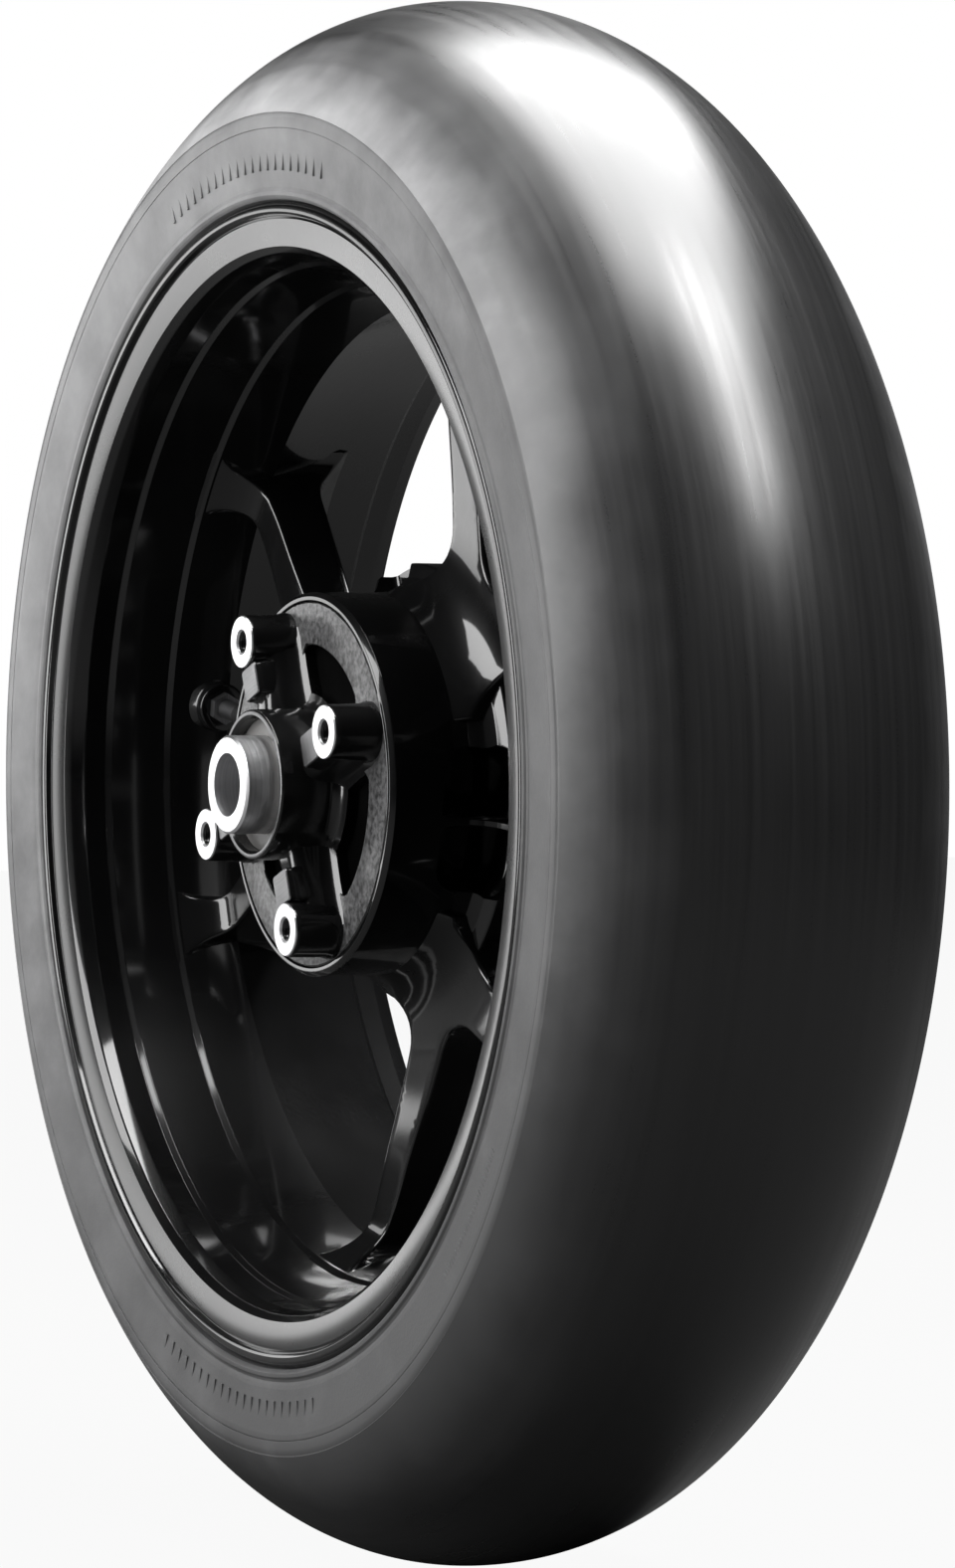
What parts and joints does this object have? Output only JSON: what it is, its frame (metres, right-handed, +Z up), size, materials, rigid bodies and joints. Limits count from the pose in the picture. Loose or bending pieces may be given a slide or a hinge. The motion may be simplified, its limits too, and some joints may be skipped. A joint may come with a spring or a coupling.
{
  "type": "motorcycle rear wheel with slick tyre",
  "caption": "Rear motorcycle wheel: slick radial tyre on a cast spoked rim, with cushioned sprocket carrier, bearings, seals, axle spacers and valve.",
  "frame": {"origin": "on the axle line, in the middle plane of the rim", "axes": "+Y along the axle from the sprocket side to the brake disc side, +Z up, +X completes the frame"},
  "size_m": [0.6188, 0.1671, 0.6188],
  "materials": {
    "tread_rubber": "satin slick",
    "sidewall_rubber": "satin grey",
    "inner_rubber": "matte",
    "belt_cord": "woven",
    "ply_cord": "woven",
    "bead_wire": "drawn wire",
    "wheel_paint": "gloss powder coat",
    "carrier_paint": "gloss coat with machined faces",
    "spring_steel": "oiled",
    "seal_rubber": "matte",
    "bearing_steel": "ground",
    "cage_brass": "pressed",
    "tube_steel": "turned",
    "spacer_steel": "turned bright",
    "valve_metal": "anodised",
    "valve_brass": "turned",
    "cap_plastic": "moulded"
  },
  "bodies": {
    "axle_line": {"spacer_sprocket_side": "spacer_steel", "spacer_disc_side": "spacer_steel", "carrier_inner_race": "bearing_steel", "left_inner_race": "bearing_steel", "right_inner_race": "bearing_steel", "carrier_tube": "tube_steel", "distance_tube": "tube_steel"},
    "wheel": {"tread_band": "tread_rubber", "belt_plies": "belt_cord", "carcass_ply": "ply_cord", "inner_liner": "inner_rubber", "sidewall_sprocket_side": "sidewall_rubber", "sidewall_disc_side": "sidewall_rubber", "bead_core_sprocket_side": "bead_wire", "bead_core_disc_side": "bead_wire", "bead_filler_sprocket_side": "inner_rubber", "bead_filler_disc_side": "inner_rubber", "rim_barrel": "wheel_paint", "spoke_pair_1": "wheel_paint", "spoke_pair_2": "wheel_paint", "spoke_pair_3": "wheel_paint", "hub_shell": "wheel_paint", "cush_rubbers": "inner_rubber", "disc_side_seal": "seal_rubber", "left_outer_race": "bearing_steel", "right_outer_race": "bearing_steel", "valve_grommet": "inner_rubber", "valve_stem": "valve_metal", "valve_nut": "valve_metal", "valve_core_barrel": "valve_brass"},
    "carrier": {"sprocket_carrier": "carrier_paint", "carrier_circlip": "spring_steel", "carrier_seal": "seal_rubber", "carrier_outer_race": "bearing_steel"},
    "carrier_ball_set": {"carrier_balls": "bearing_steel", "carrier_cage": "cage_brass"},
    "left_ball_set": {"left_balls": "bearing_steel", "left_cage": "cage_brass"},
    "right_ball_set": {"right_balls": "bearing_steel", "right_cage": "cage_brass"},
    "valve_cap": {"valve_cap": "cap_plastic"},
    "valve_pin": {"valve_core_pin": "valve_brass"}
  },
  "joints": [
    {"name": "wheel_spin", "type": "hinge", "parent": "axle_line", "child": "wheel", "pos_m": [0, 0, 0], "axis": [0, 1, 0], "continuous": true},
    {"name": "carrier_windup", "type": "hinge", "parent": "wheel", "child": "carrier", "pos_m": [0, 0, 0], "axis": [0, 1, 0], "range_deg": [-2.5, 2.5], "stiffness_Nm_per_rad": 400, "deforming": ["cush_rubbers"]},
    {"name": "carrier_balls_roll", "type": "hinge", "parent": "axle_line", "child": "carrier_ball_set", "pos_m": [0, 0, 0], "axis": [0, 1, 0], "continuous": true},
    {"name": "left_balls_roll", "type": "hinge", "parent": "axle_line", "child": "left_ball_set", "pos_m": [0, 0, 0], "axis": [0, 1, 0], "continuous": true},
    {"name": "right_balls_roll", "type": "hinge", "parent": "axle_line", "child": "right_ball_set", "pos_m": [0, 0, 0], "axis": [0, 1, 0], "continuous": true},
    {"name": "valve_cap_pull", "type": "slide", "parent": "wheel", "child": "valve_cap", "axis": [0.9848, 0, -0.1736], "range_m": [0, 0.014]},
    {"name": "valve_pin_press", "type": "slide", "parent": "wheel", "child": "valve_pin", "axis": [-0.9848, 0, 0.1736], "range_m": [0, 0.0015], "stiffness_N_per_m": 300, "springref_m": -0.001}
  ],
  "couplings": [
    {"joint": "carrier_balls_roll", "follows": "wheel_spin", "ratio": 0.60312},
    {"joint": "left_balls_roll", "follows": "wheel_spin", "ratio": 0.60312},
    {"joint": "right_balls_roll", "follows": "wheel_spin", "ratio": 0.60312}
  ]
}
